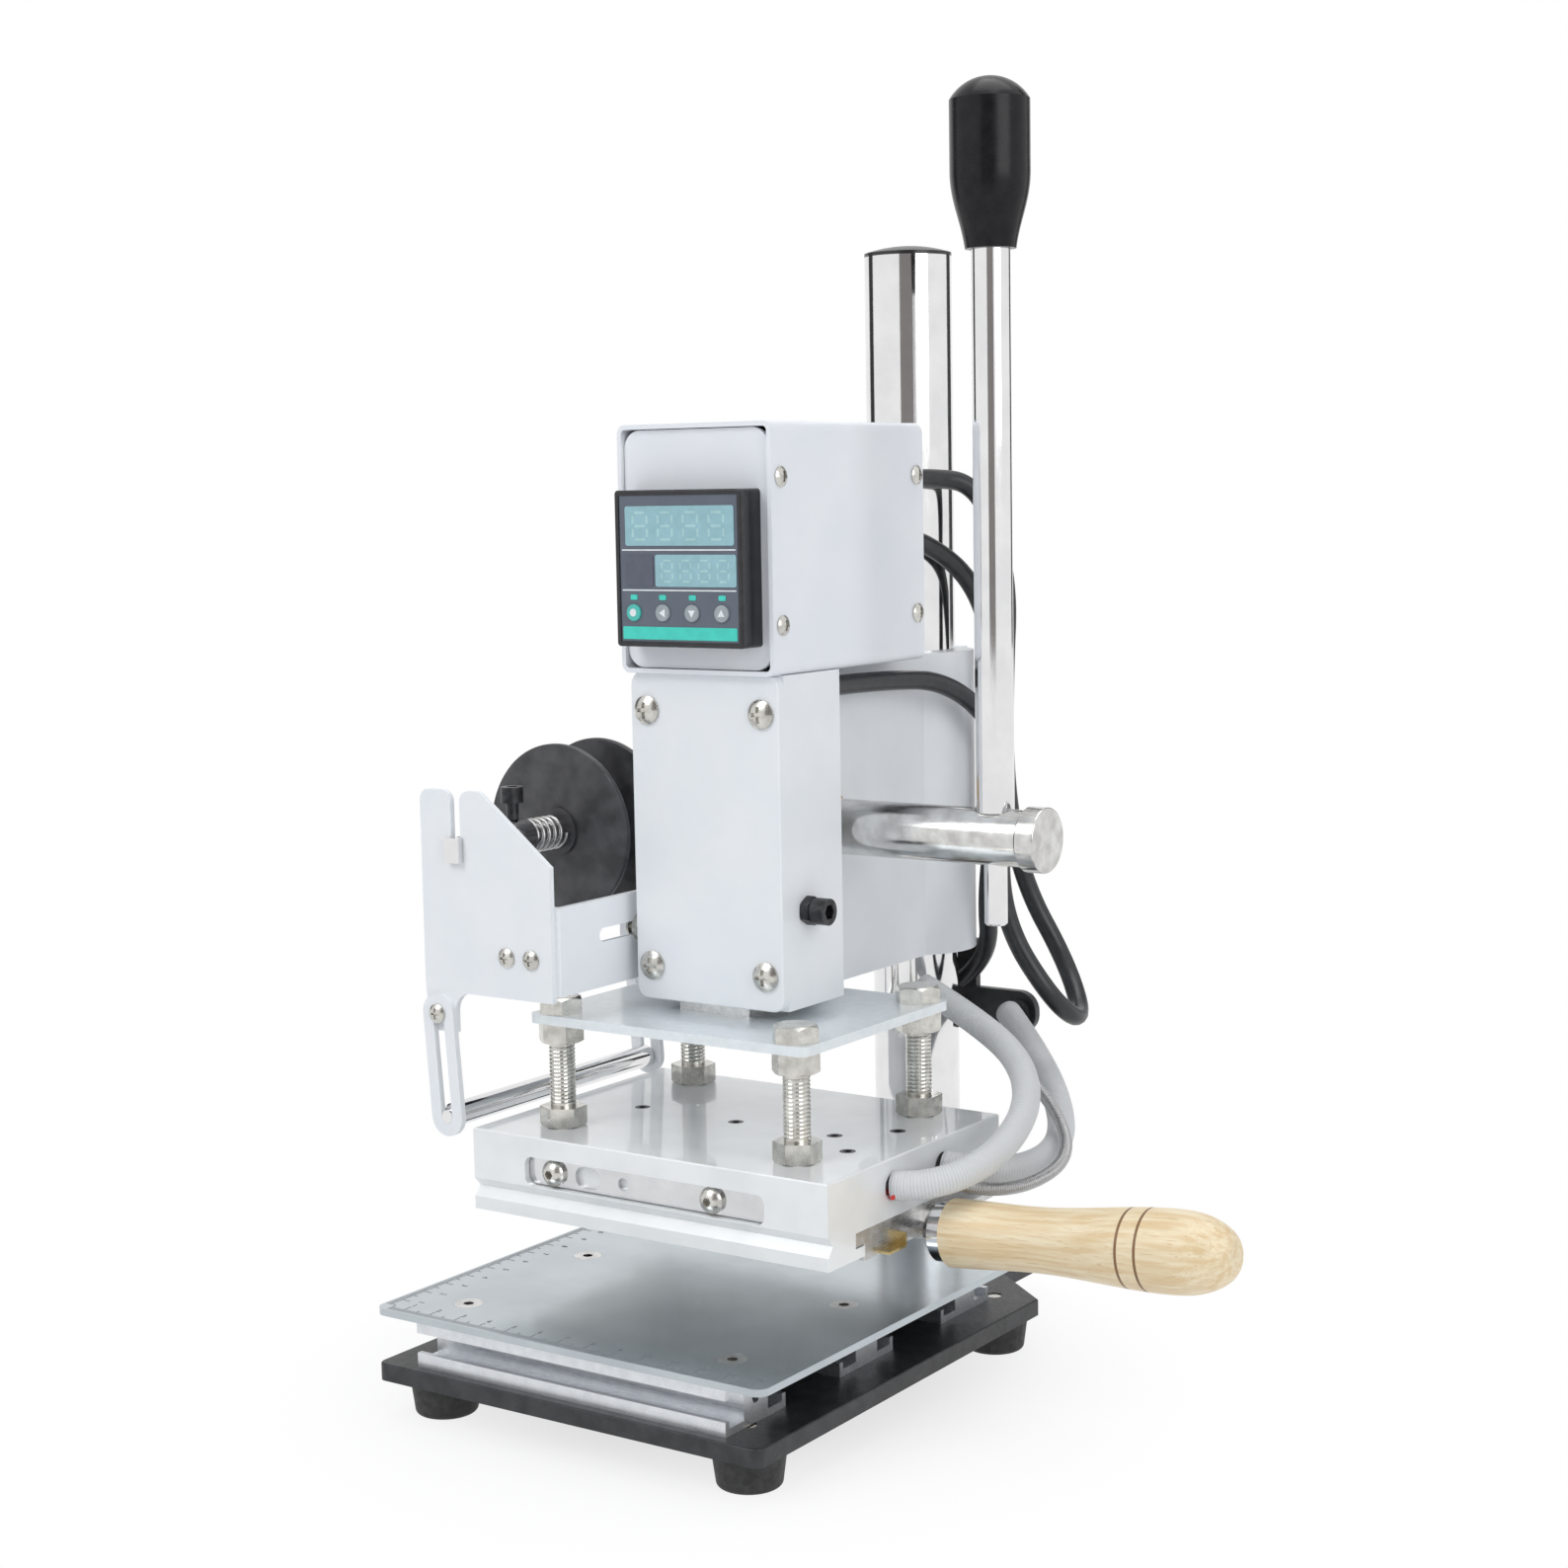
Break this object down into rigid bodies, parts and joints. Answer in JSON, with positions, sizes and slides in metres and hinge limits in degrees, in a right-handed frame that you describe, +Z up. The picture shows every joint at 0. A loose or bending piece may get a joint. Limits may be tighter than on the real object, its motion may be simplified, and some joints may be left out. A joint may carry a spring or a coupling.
{
  "type": "hot foil stamping machine",
  "caption": "Bench-top hot foil stamping press: geared lever and ram, electric heating block with die tray, foil reel holder, slotted work table and temperature controller.",
  "frame": {"origin": "middle of the four feet, on the surface that the machine stands on", "axes": "+X towards the lever and the tray handle, +Y from the front to the post, +Z up"},
  "size_m": [0.2749, 0.232, 0.405],
  "materials": {
    "alu": "satin",
    "black_paint": "satin",
    "black_plastic": "matte",
    "black_steel": "satin",
    "brass": "satin",
    "bronze": "satin",
    "button_grey": "gloss",
    "button_teal": "gloss",
    "chrome": "gloss",
    "gloss_black": "gloss",
    "rubber": "matte",
    "sleeve": "matte",
    "steel": "satin",
    "white_paint": "satin",
    "wood": "satin",
    "zinc": "satin"
  },
  "bodies": {
    "frame": {"base_plate": "black_paint", "rubber_feet": "rubber", "base_screws": "zinc", "table_rails": "alu", "work_table": "steel", "table_screws": "zinc", "post": "chrome", "post_cap": "black_plastic", "post_bolt": "zinc"},
    "head": {"slide_body": "white_paint", "front_cover": "white_paint", "cover_screws": "zinc", "clamp_screws": "black_steel", "gib_strip": "bronze", "gib_screw_set": "black_steel", "shaft_bush": "bronze", "box_shell": "white_paint", "box_panel": "white_paint", "box_screws": "zinc", "controller_case": "gloss_black", "controller_face": "gloss_black", "bracket_screws": "zinc", "cable_bracket": "black_paint", "rear_cables": "rubber"},
    "press": {"ram": "steel", "hanging_plate": "alu", "ram_screws": "black_steel", "hanging_bolts": "zinc", "hanging_nuts": "zinc", "heating_block": "alu", "heater_cartridges": "steel", "latch_strip": "zinc", "latch_screws": "zinc", "set_screws": "black_steel", "heater_lead": "sleeve", "thermocouple_lead": "steel"},
    "lever": {"pinion_shaft": "chrome", "shaft_cap": "zinc", "shaft_retainer": "zinc", "lever_rod": "chrome", "lever_grip": "black_plastic"},
    "tray": {"die_tray": "steel", "tray_clip": "brass", "tray_ferrule": "chrome", "tray_handle": "wood"},
    "holder": {"foil_plates": "white_paint", "foil_cross_bracket": "white_paint", "holder_screws": "zinc"},
    "guide": {"guide_arms": "white_paint"},
    "guide_roller": {"guide_bar": "chrome"},
    "reel": {"reel_shaft": "chrome", "front_flange": "black_plastic", "rear_flange": "black_plastic", "reel_collar": "chrome", "thumb_screw": "black_steel", "reel_spring": "steel"},
    "button_set": {"set_button": "button_teal"},
    "button_shift": {"shift_button": "button_grey"},
    "button_down": {"down_button": "button_grey"},
    "button_up": {"up_button": "button_grey"}
  },
  "joints": [
    {"name": "head_height", "type": "slide", "parent": "frame", "child": "head", "axis": [0, 0, 1], "range_m": [0, 0.1]},
    {"name": "ram_press", "type": "slide", "parent": "head", "child": "press", "axis": [0, 0, -1], "range_m": [0, 0.0195]},
    {"name": "lever_turn", "type": "hinge", "parent": "head", "child": "lever", "pos_m": [0, 0.0395, 0.175], "axis": [1, 0, 0], "range_deg": [0, 93]},
    {"name": "tray_slide", "type": "slide", "parent": "press", "child": "tray", "axis": [1, 0, 0], "range_m": [0, 0.125]},
    {"name": "holder_shift", "type": "slide", "parent": "head", "child": "holder", "axis": [0, 1, 0], "range_m": [0, 0.016]},
    {"name": "guide_arm_swing", "type": "hinge", "parent": "holder", "child": "guide", "pos_m": [-0.0805, 0, 0.1185], "axis": [0, 1, 0], "range_deg": [0, 40]},
    {"name": "guide_bar_turn", "type": "hinge", "parent": "guide", "child": "guide_roller", "pos_m": [-0.078, 0, 0.085], "axis": [0, 1, 0], "continuous": true},
    {"name": "reel_turn", "type": "hinge", "parent": "holder", "child": "reel", "pos_m": [-0.0724, 0, 0.1715], "axis": [0, 1, 0], "continuous": true},
    {"name": "set_press", "type": "slide", "parent": "head", "child": "button_set", "axis": [0, 1, 0], "range_m": [0, 0.0005], "stiffness_N_per_m": 600, "springref_m": -0.0004},
    {"name": "shift_press", "type": "slide", "parent": "head", "child": "button_shift", "axis": [0, 1, 0], "range_m": [0, 0.0005], "stiffness_N_per_m": 600, "springref_m": -0.0004},
    {"name": "down_press", "type": "slide", "parent": "head", "child": "button_down", "axis": [0, 1, 0], "range_m": [0, 0.0005], "stiffness_N_per_m": 600, "springref_m": -0.0004},
    {"name": "up_press", "type": "slide", "parent": "head", "child": "button_up", "axis": [0, 1, 0], "range_m": [0, 0.0005], "stiffness_N_per_m": 600, "springref_m": -0.0004}
  ],
  "couplings": [
    {"joint": "ram_press", "follows": "lever_turn", "m_per_rad": 0.012}
  ]
}
